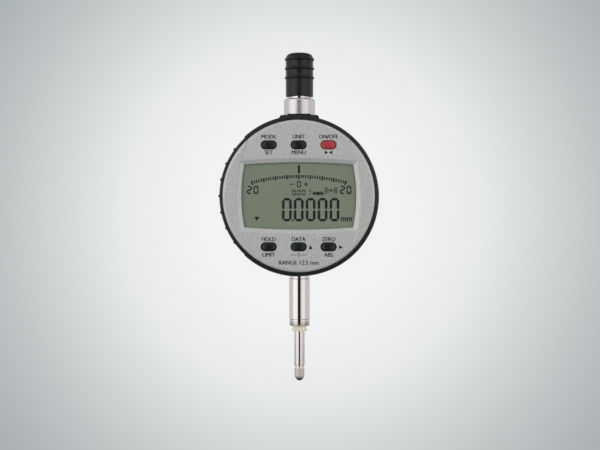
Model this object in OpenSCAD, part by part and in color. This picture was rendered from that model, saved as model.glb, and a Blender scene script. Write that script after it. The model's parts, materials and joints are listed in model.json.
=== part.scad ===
// Digital dial indicator with a swivelling display and an 8 mm clamping stem.
// Millimetres. +Z runs up the spindle and the face looks along -Y.
// The origin is on the spindle's axis, at the middle of the stem's clamping length.
// Parts of the body and display are drawn in the face's plane, with "height" counted
// forward from the spindle's axis, so the front is high and the back is negative.

/* [Body] */
// Outside diameter of the rear case
case_d = 61; // [60.6:0.1:61.4]
// Thickness of the case's drum wall
case_wall = 2; // [1.8:0.1:2.2]
// Height of the display's centre above the middle of the clamping length
dial_z = 39.4; // [39.2:0.1:39.6]
// Diameter of the four rear cover screws
cover_screw_d = 2; // [1.6:0.1:2.4]

/* [Stem and spindle] */
// Diameter of the clamping stem
stem_d = 8; // [7.9:0.1:8]
// Length of the stem that a holder can clamp
clamp_len = 15.4; // [15:0.1:15.6]
// Diameter of the spindle rod
rod_d = 4; // [3.9:0.1:4]
// Radial play of a shaft in its bush
running_gap = 0.03; // [0.02:0.01:0.06]
// Measuring travel of the spindle
travel = 12.5; // [10:0.5:12.5]
// Diameter of the contact ball
ball_d = 3; // [2.8:0.1:3]

/* [Display] */
// Diameter of the silver face
face_d = 57.3; // [57:0.1:57.4]
// Diameter over the ribs of the grip ring
grip_d = 60.6; // [60.4:0.1:60.8]
// Ribs on the left of the grip ring
rib_count = 9; // [7:2:11]
// Swivel of the display to either side, in degrees
swivel = 140; // [120:5:150]
// Width of the window opening
window_w = 43.2; // [42.8:0.1:43.4]
// Height of the window opening
window_h = 25.3; // [25:0.1:25.5]

/* [Keys] */
// Distance between neighbouring keys
key_pitch = 11.2; // [11:0.1:11.4]
// Distance of each row of keys from the display's centre
key_row = 19.1; // [19:0.1:19.3]
// Travel of a key
key_travel = 0.5; // [0.3:0.1:0.5]

/* [Battery] */
// Diameter of the coin cell
cell_d = 24.5; // [24.3:0.1:24.5]
// Thickness of the coin cell
cell_t = 5; // [4.8:0.1:5]

/* [Hidden] */
$fn = 96;
eps = 0.01;

// Heights of the layers, front to back
wing_front = 15.5;
face_front = 15.1;
ring_front = 15.0;
window_floor = 14.3;
face_back = 13.5;
seal_seat = 13.0;
board_front = 10.4;
board_back = 9.4;
floor_front = 8.4;
housing_back = 6.9;
case_front = 6.5;
wall_back = 5.0;
hub_end = 4.85;
retainer_back = 3.65;
chassis_front = 3.4;
chassis_back = 2.4;
sensor_front = -2.6;
sensor_back = -3.6;
cell_front = -3.1;
cell_back = cell_front - cell_t;
case_back = -9.0;
cover_back = -11.0;

// Radii
case_r = case_d / 2;
case_in = case_r - case_wall;
face_r = face_d / 2;
grip_r = grip_d / 2;
ring_r = grip_r - 0.4;
housing_in = 27.9;
hub_r = 11.92;
hub_bore = 12.0;
hub_in = 8.2;
stem_r = stem_d / 2;
rod_r = rod_d / 2;
sleeve_r = 3.9;
collar_r = 6.03;

// Heights along the spindle's axis, from the origin
clamp_top = clamp_len / 2;
land_end = -clamp_top - 2.7;
boss_top = dial_z + 31.15;
collar_top = dial_z + 37.8;
cap_bottom = dial_z + 38.7;
cap_top = dial_z + 55.4;
rod_bottom = dial_z - 65.2;
ball_z = rod_bottom - 4.4;
stem_top = dial_z - 22;

// Places in the face's plane
key_x = [-key_pitch, 0, key_pitch];
cover_screws = [for (x = [-1, 1], y = [-1, 1]) [18.1 * x, 18.1 * y]];
chassis_screw_at = [for (x = [-15.5, 15.5], y = [-12, 12]) [x, y]];
sensor_screw_at = [[18.4, -6.5], [18.4, 6.5]];
board_screw_at = [for (x = [-19, 19], y = [-17.5, 17.5]) [x, y]];
face_screw_at = [[0, 25.2], [0, -25.2], [25.6, 0], [-25.6, 0]];
cell_at = [-10, 0];
spring_x = -8;
pin_up = -2;
stop_radius = 20;

// ---- helpers ----

// The face's plane at a height: x to the right, y up, z towards the front
module facing(height = 0) {
    translate([0, 0, dial_z]) rotate([90, 0, 0]) translate([0, 0, height]) children();
}

// A flat outline given thickness between two heights
module slab(low, high) {
    facing(low) linear_extrude(high - low) children();
}

// A box in the face's plane, between two heights
module brick(x0, x1, y0, y1, low, high) {
    facing() translate([x0, y0, low]) cube([x1 - x0, y1 - y0, high - low]);
}

// A round post or hole square to the face
module post(at, r, low, high) {
    facing(low) translate(at) cylinder(r = r, h = high - low);
}

// A turned part about the spindle's axis: its outline is [radius, z] points
module turned(points) {
    rotate_extrude() polygon(points);
}

// A plain ring about the spindle's axis
module tube(outer, inner, z0, z1) {
    turned([[inner, z0], [outer, z0], [outer, z1], [inner, z1]]);
}

// An outline with two round ends
module stadium(length, width) {
    half = (length - width) / 2;
    square([2 * half, width], center = true);
    for (side = [-1, 1]) translate([side * half, 0]) circle(d = width);
}

// The space between two bowed pairs of sides, as cylinders or cones that slope outward
module window_cut(low, high, grow_low, grow_high) {
    side_r = 60;
    top_r = 247;
    $fn = 720;
    facing(low) intersection() {
        translate([side_r - window_w / 2, 0])
            cylinder(r1 = side_r + grow_low, r2 = side_r + grow_high, h = high - low);
        translate([window_w / 2 - side_r, 0])
            cylinder(r1 = side_r + grow_low, r2 = side_r + grow_high, h = high - low);
        translate([0, top_r - window_h / 2])
            cylinder(r1 = top_r + grow_low, r2 = top_r + grow_high, h = high - low);
        translate([0, window_h / 2 - top_r])
            cylinder(r1 = top_r + grow_low, r2 = top_r + grow_high, h = high - low);
    }
}

// Cap screw: its head's outer face is at "head", and its shank ends at "tip"
module screw(at, shank_r, head_r, head, under_head, tip) {
    socket = 0.55 * head_r;
    difference() {
        post(at, head_r, min(head, under_head), max(head, under_head));
        facing(head - 0.5 * abs(under_head - head)) translate(at)
            cylinder(r = socket, h = abs(under_head - head), $fn = 6);
    }
    post(at, shank_r, min(under_head, tip), max(under_head, tip));
}

// ---- body ----

module case_shell() {
    color("#2b2d2f") difference() {
        union() {
            difference() {
                post([0, 0], case_r, case_back, case_front);
                post([0, 0], case_in, case_back - 1, wall_back);
            }
            // Top boss that holds the collar, with a front lip
            slab(-6.2, case_front) polygon([
                [-7.7, 24.5], [7.7, 24.5], [7.7, 30.2], [7, boss_top - dial_z],
                [-7, boss_top - dial_z], [-7.7, 30.2]]);
            brick(-4.5, 4.5, 30, 31.6, 6.1, case_front);
            // Socket for the stem
            intersection() {
                brick(-5.9, 5.9, -30.4, stem_top - dial_z, -6.2, case_front - 1);
                post([0, 0], case_r, -7, case_front + 1);
            }
            // Posts for the rear cover and the chassis
            for (at = cover_screws) post(at, 2.6, case_back, wall_back + eps);
            for (at = chassis_screw_at) post(at, 2, chassis_front, wall_back + eps);
        }
        post([0, 0], hub_bore, wall_back - 1, case_front + 1);
        post([0, -stop_radius], 1, wall_back - 1, case_front + 1);
        for (at = cover_screws) post(at, cover_screw_d / 2, case_back - 1, case_back + 6);
        for (at = chassis_screw_at) post(at, 0.9, chassis_front - 1, wall_back - 0.1);
        // Bores along the spindle
        translate([0, 0, dial_z + 27.5]) cylinder(r = 5.6, h = 10);
        translate([0, 0, dial_z + 20]) cylinder(r = 4.3, h = 10);
        translate([0, 0, dial_z - 32]) cylinder(r = 4.6, h = 12);
    }
}

module rear_cover() {
    color("#2b2d2f") difference() {
        union() {
            post([0, 0], case_r - 0.4, cover_back, case_back);
            post([0, 0], case_r, cover_back + 0.4, case_back);
            difference() {
                post([0, 0], case_in - 0.05, case_back - eps, case_back + 1.2);
                post([0, 0], case_in - 1.3, case_back - 1, case_back + 2);
                for (at = cover_screws) post(at, 2.7, case_back - 1, case_back + 2);
            }
        }
        for (at = cover_screws) {
            post(at, cover_screw_d / 2, cover_back - 1, case_back + 1);
            post(at, 1.95, cover_back - 1, cover_back + 1.1);
        }
        // Counterbore, ledge and lug notches for the battery door
        post(cell_at, 13.5, cover_back - 1, cover_back + 1);
        post(cell_at, 12.8, cover_back - 1, case_back + 2);
        for (turn = [0, 120, 240])
            facing(cover_back) translate(cell_at) rotate(turn + 45 + 79)
                rotate_extrude(angle = 22) translate([11, -1]) square([2.9, 4]);
        // Groove for the seal
        facing(case_back - 0.6) rotate_extrude() translate([29.1, 0]) square([0.8, 1]);
    }
}

module rear_cover_screws() {
    color("#8d9094") for (at = cover_screws)
        screw(at, cover_screw_d / 2, 1.9, cover_back + 0.15, cover_back + 1.1, case_back + 5.5);
}

module rear_seal() {
    color("#171717") facing(case_back - 0.55)
        rotate_extrude() translate([29.15, 0]) square([0.7, 0.55]);
}

module stem() {
    collar_z = dial_z - 30.15;
    color("#c9cccf") turned([
        [2.5, stem_top], [4.3, stem_top], [4.6, stem_top - 0.3],
        [4.6, collar_z], [stem_r - 0.25, collar_z],
        [stem_r - 0.25, clamp_top + 0.15], [stem_r, clamp_top],
        [stem_r, -clamp_top], [stem_r - 0.2, -clamp_top - 0.05], [stem_r - 0.2, -clamp_top - 0.3],
        [stem_r - 0.12, -clamp_top - 0.35], [stem_r - 0.15, land_end + 0.6],
        [stem_r - 0.75, land_end], [2.8, land_end], [2.8, dial_z - 38], [2.5, dial_z - 38]]);
}

module lower_bush() {
    color("#b08d57") tube(2.8, rod_r + running_gap, dial_z - 47.9, dial_z - 38);
}

module wiper() {
    color("#ece4cd") turned([
        [rod_r + 0.05, dial_z - 47.9], [2.8, dial_z - 47.9], [2.8, land_end], [2.63, land_end],
        [2.63, land_end - 1.1], [3.15, land_end - 1.6], [3.05, land_end - 1.95],
        [rod_r + 0.05, land_end - 2]]);
}

module collar() {
    round_r = 0.8;
    color("#c9cccf") turned(concat(
        [[5, dial_z + 27.5], [5.6, dial_z + 27.5], [5.6, boss_top], [collar_r - 0.25, boss_top],
         [collar_r, boss_top + 0.25]],
        [for (a = [0:15:90]) [collar_r - round_r * (1 - cos(a)), collar_top - round_r * (1 - sin(a))]],
        [[sleeve_r + 0.25, collar_top], [sleeve_r + 0.25, collar_top - 0.6], [5, collar_top - 0.6]]));
}

module upper_bush() {
    color("#b08d57") tube(5, sleeve_r + running_gap, dial_z + 27.5, collar_top - 0.6);
}

module chassis() {
    color("#a8adb2") difference() {
        union() {
            brick(-18, 20.8, -15, 15, chassis_back, chassis_front);
            brick(-11, -6, -23, -14, chassis_back, chassis_front);
            for (at = sensor_screw_at) post(at, 1.8, sensor_front, chassis_back + eps);
        }
        for (at = chassis_screw_at) post(at, 0.9, chassis_back - 1, chassis_front + 1);
        for (at = sensor_screw_at) post(at, 0.8, sensor_front - 1, chassis_back - 0.4);
        post([spring_x, -22.2], 0.6, chassis_back - 1, chassis_front + 1);
        // Way through for the stop ring
        brick(-3.7, 3.7, -16, -7.1, chassis_back - 1, chassis_front + 1);
        // Slot that keeps the spindle from turning, and ends its upward travel
        slab(chassis_back - 1, chassis_front + 1) translate([0, pin_up + travel / 2])
            rotate(90) stadium(travel + 2.4, 2.1);
    }
}

module chassis_screws() {
    color("#8d9094") for (at = chassis_screw_at)
        screw(at, 0.9, 1.6, chassis_back - 1.1, chassis_back, wall_back - 0.2);
}

module sensor_board() {
    color("#1f6b3c") difference() {
        brick(4.6, 20.6, -9.5, 9.5, sensor_back, sensor_front);
        for (at = sensor_screw_at) post(at, 0.8, sensor_back - 1, sensor_front + 1);
    }
}

module reading_head() {
    color("#31363b") brick(5.4, 14, -5, 5, sensor_front, -0.35);
}

module sensor_screws() {
    color("#8d9094") for (at = sensor_screw_at)
        screw(at, 0.8, 1.5, sensor_back - 1, sensor_back, -0.5);
}

module radio_module() {
    color("#1f6b3c") {
        brick(6, 16.5, -8.5, 8.5, -6.8, -6.0);
        for (y = [-7.6, 6.2]) brick(7, 15, y, y + 1.4, -6.0, sensor_back);
        brick(7, 15.5, -5.5, 4.5, -8.3, -6.8);
    }
}

module coin_cell() {
    color("#c3c6c8") {
        post(cell_at, cell_d / 2, cell_back, cell_front - 0.9);
        post(cell_at, cell_d / 2 - 1.4, cell_front - 0.9 - eps, cell_front);
    }
}

module cell_holder() {
    color("#303234") difference() {
        post(cell_at, cell_d / 2 + 1.15, cell_back + 0.3, cell_front + 0.6);
        post(cell_at, cell_d / 2 + 0.1, cell_back - 1, cell_front);
        post(cell_at, 5.2, cell_front - 1, cell_front + 0.2);
        brick(cell_at.x - 2.1, cell_at.x + 2.1, cell_d / 2 - 0.5, cell_d / 2 + 0.4,
              cell_back - 1, cell_front);
    }
}

module cell_contacts() {
    color("#c9a24a") {
        post(cell_at, 5, cell_front, cell_front + 0.18);
        brick(cell_at.x - 2, cell_at.x + 2, cell_d / 2 + 0.02, cell_d / 2 + 0.3,
              cell_back + 0.5, cell_front - 0.3);
    }
}

module spring_bracket() {
    low = dial_z - 23;
    color("#8d9094") {
        brick(spring_x - 2, spring_x + 2, -23, -21.4, -1.8, chassis_back);
        translate([spring_x, 0, low + 1.6 - eps]) cylinder(r = 1.4, h = 3);
        post([spring_x, -22.2], 0.6, chassis_back - eps, chassis_front);
    }
}

// The spring's wire is swept along a helix: ring after ring of points, then joined
spring_low = dial_z - 21.3;
spring_len = 20.1;
spring_turns = 17;
spring_r = 1.72;
wire_r = 0.2;
wire_sides = 6;
rings_per_turn = 12;
rings = spring_turns * rings_per_turn;
// Close turns grip the pegs at both ends, and the rest are spread evenly between
function turn_height(t) =
    let (closed = 3, pitch = 2 * wire_r + 0.06, open = spring_turns - 2 * closed,
         free = spring_len - 2 * wire_r - 2 * closed * pitch)
    t < closed ? t * pitch
    : t > spring_turns - closed ? spring_len - 2 * wire_r - (spring_turns - t) * pitch
    : closed * pitch + (t - closed) / open * free;
function wire_point(ring, side) =
    let (t = ring / rings_per_turn, a = 360 * t, b = 360 * side / wire_sides)
    [spring_x + (spring_r + wire_r * cos(b)) * cos(a),
     (spring_r + wire_r * cos(b)) * sin(a),
     spring_low + wire_r + turn_height(t) + wire_r * sin(b)];

module return_spring() {
    color("#b9bcc0") polyhedron(
        points = [for (i = [0:rings], s = [0:wire_sides - 1]) wire_point(i, s)],
        faces = concat(
            [[for (s = [0:wire_sides - 1]) s]],
            [for (i = [0:rings - 1], s = [0:wire_sides - 1])
                [i * wire_sides + s, (i + 1) * wire_sides + s,
                 (i + 1) * wire_sides + (s + 1) % wire_sides]],
            [for (i = [0:rings - 1], s = [0:wire_sides - 1])
                [i * wire_sides + s, (i + 1) * wire_sides + (s + 1) % wire_sides,
                 i * wire_sides + (s + 1) % wire_sides]],
            [[for (s = [wire_sides - 1:-1:0]) rings * wire_sides + s]]));
}

module stop_pin() {
    color("#c9cccf") post([0, -stop_radius], 1, wall_back - 0.1, floor_front - 0.65);
}

// ---- display ----

// The grip ring's outline: ribbed on the left, and plain everywhere else
module grip_outline() {
    step = 12;
    span = (rib_count - 1) / 2 * step;
    rib_r = 0.7;
    far = 2 * grip_r;
    circle(r = ring_r);
    for (i = [0:rib_count - 1])
        rotate(180 + i * step - span) translate([grip_r - rib_r, 0]) circle(r = rib_r);
    // The plain stretches above and below the ribs
    intersection() {
        circle(r = grip_r);
        for (way = [-1, 1])
            polygon([[0, 0], [0, way * far], [-far * cos(span), way * far],
                     [-far * cos(span), way * far * sin(span)]]);
    }
    // The right half is a little smaller
    intersection() {
        translate([-0.1, 0]) circle(r = grip_r - 0.1);
        translate([0, -grip_r]) square([far, far]);
    }
}

module display_housing() {
    groove_half = swivel + 4.2;
    color("#303234") difference() {
        union() {
            slab(housing_back, ring_front) grip_outline();
            post([0, 0], hub_r, hub_end, housing_back + eps);
        }
        post([0, 0], face_r + 0.06, seal_seat, ring_front + 1);
        difference() {
            post([0, 0], housing_in, floor_front, seal_seat + 1);
            for (at = board_screw_at) post(at, 2, floor_front - 1, board_back);
            for (at = face_screw_at) post(at, 2, floor_front - 1, seal_seat);
        }
        post([0, 0], hub_in, hub_end - 1, floor_front + 1);
        // Groove for the swivel seal
        facing(5.25) rotate_extrude() translate([10.65, 0]) square([2, 1.1]);
        // Groove for the stop pin
        facing(housing_back - 1) rotate(-90 - groove_half) rotate_extrude(angle = 2 * groove_half)
            translate([stop_radius - 1.1, 0]) square([2.2, 2]);
        for (at = board_screw_at) post(at, 0.8, floor_front - 0.4, board_back + 1);
        for (at = face_screw_at) {
            post(at, 0.8, housing_back - 1, seal_seat + 1);
            post(at, 1.7, housing_back - 1, housing_back + 1.1);
        }
        for (turn = [45:90:315])
            facing(hub_end - 1) rotate(turn) translate([10, 0]) cylinder(r = 0.8, h = 4);
    }
}

// The middle panel lies a little lower than the side wings, between two long arcs
module panel_outline() {
    border_r = 54.4;
    border_x = 23.3;
    intersection() {
        translate([border_x - border_r, 0]) circle(r = border_r, $fn = 360);
        translate([border_r - border_x, 0]) circle(r = border_r, $fn = 360);
    }
}

module face_plate() {
    bevel = 1.5;
    color("#b4b7b9") difference() {
        post([0, 0], face_r, face_back, wing_front);
        slab(face_front, wing_front + 1) panel_outline();
        window_cut(window_floor, face_front + 0.02, 0, bevel);
        // Pocket for the lens, open at the back
        window_cut(face_back - 1, window_floor + eps, 1.05, 1.05);
        for (x = key_x, y = [-key_row, key_row])
            slab(face_back - 1, wing_front + 1) translate([x, y]) stadium(6.1, 3.4);
        for (at = face_screw_at) post(at, 0.8, face_back - 1, face_back + 1.1);
    }
}

module face_screws() {
    color("#8d9094") for (at = face_screw_at)
        screw(at, 0.8, 1.5, housing_back + 0.1, housing_back + 1.1, face_back + 1);
}

module window_lens() {
    color([0.9, 0.93, 0.9, 0.3]) window_cut(face_back + 0.02, window_floor, 1, 1);
}

module lcd_glass() {
    color("#7d8574") brick(-22.5, 22.5, -13.6, 13.6, 12.0, face_back);
}

module lcd_frame() {
    color("#242628") difference() {
        brick(-23.4, 23.4, -15.2, 15.2, board_front, face_back - 0.1);
        brick(-22.55, 22.55, -13.65, 13.65, board_front - 1, face_back + 1);
    }
}

module zebra_strips() {
    color("#5a4038") for (y = [-13.3, 11.7]) brick(-20, 20, y, y + 1.6, board_front, 12.0);
}

module main_board() {
    color("#1f6b3c") difference() {
        post([0, 0], 27.5, board_back, board_front);
        for (at = board_screw_at) post(at, 0.8, board_back - 1, board_front + 1);
        for (at = face_screw_at) post(at, 2.2, board_back - 1, board_front + 1);
        // Way through for the flex cable
        brick(2, 6, -2, 2, board_back - 1, board_front + 1);
    }
}

module key_domes() {
    color("#c9a24a") for (x = key_x, y = [-key_row, key_row])
        facing(board_front) translate([x, y]) cylinder(r1 = 2, r2 = 1.5, h = 0.4);
}

module main_chip() {
    color("#202224") brick(-18, -10, 6, 14, floor_front + 0.1, board_back);
}

module board_screws() {
    color("#8d9094") for (at = board_screw_at)
        screw(at, 0.8, 1.4, board_front + 0.9, board_front, floor_front - 0.3);
}

module display_seal() {
    color("#171717") facing(seal_seat)
        rotate_extrude() translate([housing_in + 0.1, 0]) square([0.6, face_back - seal_seat]);
}

module swivel_retainer() {
    color("#c9cccf") difference() {
        post([0, 0], 14, retainer_back, hub_end);
        post([0, 0], hub_in, retainer_back - 1, hub_end + 1);
        for (turn = [45:90:315]) facing(retainer_back - 1) rotate(turn) translate([10, 0]) {
            cylinder(r = 0.8, h = 4);
            cylinder(r = 1.45, h = 1.75);
        }
    }
}

module retainer_screws() {
    color("#8d9094") for (turn = [45:90:315])
        screw([10 * cos(turn), 10 * sin(turn)], 0.8, 1.4,
              retainer_back + 0.05, retainer_back + 0.75, hub_end + 2.9);
}

module swivel_seal() {
    color("#171717") facing(5.8) rotate_extrude() translate([11.31, 0]) circle(r = 0.5);
}

// A ribbon wound like a clock spring, which lets the display turn
module flex_cable() {
    turns = 3.5;
    steps = 70;
    ribbon_t = 0.16;
    inner_r = 3.4;
    outer_r = 7.6;
    function spiral(i, off) =
        let (a = 360 * turns * i / steps, r = inner_r + (outer_r - inner_r) * i / steps + off)
        [r * cos(a), r * sin(a)];
    color("#c77f2c") slab(5.4, 8.0) polygon(concat(
        [for (i = [0:steps]) spiral(i, 0)],
        [for (i = [steps:-1:0]) spiral(i, ribbon_t)]));
}

// One key: the cap stands in the face's opening and the flange stays behind the face
module key(x, y) {
    slab(face_back - 0.2, face_front) translate([x, y]) stadium(5.7, 3.0);
    slab(face_front - eps, face_front + 0.2) translate([x, y]) stadium(5.1, 2.4);
    slab(face_back - 1.1, face_back - 0.1) translate([x, y]) stadium(7.4, 4.6);
    post([x, y], 1.2, board_front + 0.45 + key_travel, face_back - 1);
}

module key_top_left() {
    color("#26282a") key(-key_pitch, key_row);
}

module key_top_middle() {
    color("#26282a") key(0, key_row);
}

module key_top_right() {
    color("#bb3a40") key(key_pitch, key_row);
}

module key_bottom_left() {
    color("#26282a") key(-key_pitch, -key_row);
}

module key_bottom_middle() {
    color("#26282a") key(0, -key_row);
}

module key_bottom_right() {
    color("#26282a") key(key_pitch, -key_row);
}

// ---- spindle ----

module spindle_rod() {
    color("#c9cccf") turned([
        [0, rod_bottom + 7], [1.25, rod_bottom + 7], [1.25, rod_bottom], [rod_r - 0.15, rod_bottom],
        [rod_r, rod_bottom + 0.15], [rod_r, dial_z + 51.7], [rod_r - 0.3, dial_z + 52],
        [0, dial_z + 52]]);
}

module contact_holder() {
    neck_r = 1.75;
    grip = 1.93;
    color("#b9bcc0") difference() {
        turned([
            [0, rod_bottom + 5.5], [1.25, rod_bottom + 5.5], [1.25, rod_bottom], [neck_r, rod_bottom],
            [neck_r, rod_bottom - 0.85], [grip, rod_bottom - 1], [grip, rod_bottom - 4.3],
            [1.55, rod_bottom - 4.8], [0, rod_bottom - 4.8]]);
        translate([0, 0, ball_z]) sphere(d = ball_d);
    }
}

module contact_ball() {
    color("#4a4c4f") translate([0, 0, ball_z]) sphere(d = ball_d);
}

module lifting_sleeve() {
    color("#9fa3a7") tube(sleeve_r, rod_r, dial_z + 18, dial_z + 51.5);
}

module lifting_cap() {
    cap_r = 5.3;
    ridge_out = 5.72;
    ridge_r = 0.55;
    dome_r = 2;
    dome_h = 2.1;
    color("#26282a") rotate_extrude() difference() {
        union() {
            polygon(concat(
                [[0, cap_bottom], [cap_r - 0.2, cap_bottom], [cap_r, cap_bottom + 0.2]],
                [for (a = [0:15:90]) [cap_r - dome_r * (1 - cos(a)), cap_top - dome_h * (1 - sin(a))]],
                [[0, cap_top]]));
            for (up = [46, 49.55, 53.1])
                translate([ridge_out - ridge_r, dial_z + up]) circle(r = ridge_r);
        }
        polygon([[-1, cap_bottom - 1], [sleeve_r, cap_bottom - 1], [sleeve_r, dial_z + 51.5],
                 [rod_r, dial_z + 51.5], [rod_r, dial_z + 52], [-1, dial_z + 52]]);
    }
}

module scale_carrier() {
    color("#8d9094") difference() {
        union() {
            brick(-3.6, 3.6, -8, 4, -2.3, 2.2);
            brick(3.5, 13.2, -19, 7, 1, 2.2);
            brick(spring_x - 2, -3.5, -1, 1, -1.8, 1.8);
            translate([spring_x, 0, dial_z - 4]) cylinder(r = 1.4, h = 3.5);
        }
        translate([0, 0, dial_z - 20]) cylinder(r = rod_r, h = 40);
        for (up = [-6, 2.6]) translate([-5, 0, dial_z + up]) rotate([0, 90, 0]) cylinder(r = 0.8, h = 5);
        post([0, pin_up], 0.99, rod_r, chassis_front);
    }
}

module measuring_scale() {
    color("#d8c27a") brick(6, 13, -18.5, 6.5, -0.1, 1);
}

module carrier_screws() {
    color("#8d9094") for (up = [-6, 2.6])
        translate([-3.5, 0, dial_z + up]) rotate([0, 90, 0]) difference() {
            cylinder(r = 0.8, h = 1.5);
            translate([0, 0, -1]) cylinder(r = 0.4, h = 1.6, $fn = 6);
        }
}

module guide_pin() {
    color("#c9cccf") post([0, pin_up], 0.99, rod_r + 0.05, chassis_front - 0.1);
}

// A buffer, flat at the back where it passes the cell holder
module stop_ring() {
    color("#303234") intersection() {
        tube(3.4, rod_r, stem_top + 0.1, stem_top + 2.1);
        brick(-4, 4, -23, -19, -2.35, 4);
    }
}

// ---- battery door ----

module battery_door() {
    color("#2b2d2f") difference() {
        union() {
            post(cell_at, 13.4, cover_back, cover_back + 0.95);
            post(cell_at, 12.7, cover_back, case_back + 0.7);
            for (turn = [0, 120, 240])
                facing(case_back + 0.05) translate(cell_at) rotate(turn + 81)
                    rotate_extrude(angle = 18) translate([10, 0]) square([3.7, 0.65]);
        }
        // Coin slot, and the groove for the seal
        slab(cover_back - 1, cover_back + 1) translate(cell_at) stadium(13, 1.8);
        facing(cover_back + 1.15) translate(cell_at)
            rotate_extrude() translate([12.05, 0]) square([2, 0.7]);
    }
}

module battery_door_seal() {
    color("#171717") facing(cover_back + 1.5) translate(cell_at)
        rotate_extrude() translate([12.4, 0]) circle(r = 0.34);
}

case_shell();  // case
rear_cover();
rear_cover_screws();
rear_seal();
stem();
lower_bush();
wiper();
collar();
upper_bush();
chassis();
chassis_screws();
sensor_board();
reading_head();
sensor_screws();
radio_module();
coin_cell();
cell_holder();
cell_contacts();
spring_bracket();
return_spring();
stop_pin();
display_housing();
face_plate();
face_screws();
window_lens();
lcd_glass();
lcd_frame();
zebra_strips();
main_board();
key_domes();
main_chip();
board_screws();
display_seal();
swivel_retainer();
retainer_screws();
swivel_seal();
flex_cable();
key_top_left();
key_top_middle();
key_top_right();
key_bottom_left();
key_bottom_middle();
key_bottom_right();
spindle_rod();
contact_holder();
contact_ball();
lifting_sleeve();
lifting_cap();
scale_carrier();
measuring_scale();
carrier_screws();
guide_pin();
stop_ring();
battery_door();
battery_door_seal();
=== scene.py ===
import json
import math
import bmesh
import bpy
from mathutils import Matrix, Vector
from mathutils.geometry import delaunay_2d_cdt

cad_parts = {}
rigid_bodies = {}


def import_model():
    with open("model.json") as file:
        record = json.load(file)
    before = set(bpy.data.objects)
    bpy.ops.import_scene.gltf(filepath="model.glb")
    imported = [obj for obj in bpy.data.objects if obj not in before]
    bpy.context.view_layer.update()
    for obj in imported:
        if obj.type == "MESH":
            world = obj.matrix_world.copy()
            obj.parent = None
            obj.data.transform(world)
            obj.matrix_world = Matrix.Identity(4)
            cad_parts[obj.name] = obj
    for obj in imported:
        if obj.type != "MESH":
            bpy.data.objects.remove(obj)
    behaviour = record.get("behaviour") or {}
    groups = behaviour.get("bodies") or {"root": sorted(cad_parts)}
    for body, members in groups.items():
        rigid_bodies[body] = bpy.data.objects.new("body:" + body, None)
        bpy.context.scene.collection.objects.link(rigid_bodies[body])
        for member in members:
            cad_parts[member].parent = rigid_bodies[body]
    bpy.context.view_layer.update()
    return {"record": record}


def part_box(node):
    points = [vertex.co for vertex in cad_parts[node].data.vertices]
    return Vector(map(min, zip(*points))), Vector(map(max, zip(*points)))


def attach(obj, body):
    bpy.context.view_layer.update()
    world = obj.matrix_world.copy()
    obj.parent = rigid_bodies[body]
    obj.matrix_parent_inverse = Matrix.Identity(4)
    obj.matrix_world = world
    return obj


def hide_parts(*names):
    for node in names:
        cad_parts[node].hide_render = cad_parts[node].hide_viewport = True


# Digital dial indicator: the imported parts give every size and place, and this script gives the looks.
# Lengths below are millimetres in the part's own frame, turned into metres where a point is placed.
# "Height" is counted forward (-Y) from the spindle's axis, as the part's source does.

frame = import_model()
MM = 0.001


# ---- sizes read from the frame ----

def box_mm(node):
    low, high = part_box(node)
    return low / MM, high / MM


def front(node):
    return -box_mm(node)[0].y


def back(node):
    return -box_mm(node)[1].y


def bottom(node):
    return box_mm(node)[0].z


def top(node):
    return box_mm(node)[1].z


def half_width(node):
    low, high = box_mm(node)
    return (high.x - low.x) / 2


DIAL_Z = (top("face_plate") + bottom("face_plate")) / 2
FACE_R = half_width("face_plate")
GRIP_R = (top("display_housing") - bottom("display_housing")) / 2
RING_R = GRIP_R - 0.4
CASE_R = half_width("rear_cover")
WING_FRONT = front("face_plate")
FACE_FRONT = WING_FRONT - 0.4
FACE_BACK = back("face_plate")
RING_FRONT = front("display_housing")
LENS_FRONT = front("window_lens")
LCD_FRONT = front("lcd_glass")
CASE_FRONT = front("case")
CASE_BACK = back("case")
COVER_BACK = back("rear_cover")
ROD_R = half_width("spindle_rod")
SLEEVE_R = half_width("lifting_sleeve")
COLLAR_R = half_width("collar")

# Sizes that no box gives, the same as in the part's source
RING_BACK = 6.9
BOSS_TOP = 31.15
STEM_R = 4.0
CLAMP_TOP = 7.7
LAND_END = -10.4
KEY_ROW = 19.1
KEY_PITCH = 11.2
RIB_PITCH = 12
RIB_SPAN = 48
WINDOW_X = 21.6
WINDOW_Y = 12.65
WINDOW_SIDE_R = 60
WINDOW_TOP_R = 247
BORDER_R = 54.4
BORDER_X = 23.3
COVER_SCREWS = [(18.1 * x, 18.1 * y) for x in (-1, 1) for y in (-1, 1)]


# ---- points and outlines ----

def face_point(x, y, height):
    """A point in the face's plane, x to the right and y up from the dial's centre."""
    return Vector((x, -height, DIAL_Z + y)) * MM


def polar(at, radius, a):
    """A flat point at an angle, in radians, around another point."""
    return (at[0] + radius * math.cos(a), at[1] + radius * math.sin(a))


def full_turn(steps):
    return [2 * math.pi * i / steps for i in range(steps)]


def axis_ring(radius, z, angles):
    """Points around the spindle's axis."""
    return [Vector((*polar((0, 0), radius, a), z)) * MM for a in angles]


def circle(radius, at=(0, 0), steps=160):
    def outline(grow=0):
        return [polar(at, radius + grow, a) for a in full_turn(steps)]
    return outline


def stadium(length, width, at, round_steps=24, straight_steps=12):
    """An outline with two round ends, with points all along its straight sides."""
    half = (length - width) / 2

    def outline(grow=0):
        radius = width / 2 + grow
        points = []
        for side in (1, -1):
            for i in range(round_steps + 1):
                a = math.pi * (i / round_steps - 0.5)
                x, y = polar((half, 0), radius, a)
                points.append((at[0] + side * x, at[1] + side * y))
            for i in range(1, straight_steps):
                points.append((at[0] + side * half * (1 - 2 * i / straight_steps), at[1] + side * radius))
        return points
    return outline


def hexagon(radius, at):
    def outline(grow=0):
        return [polar(at, radius + grow, a) for a in full_turn(6)]
    return outline


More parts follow.
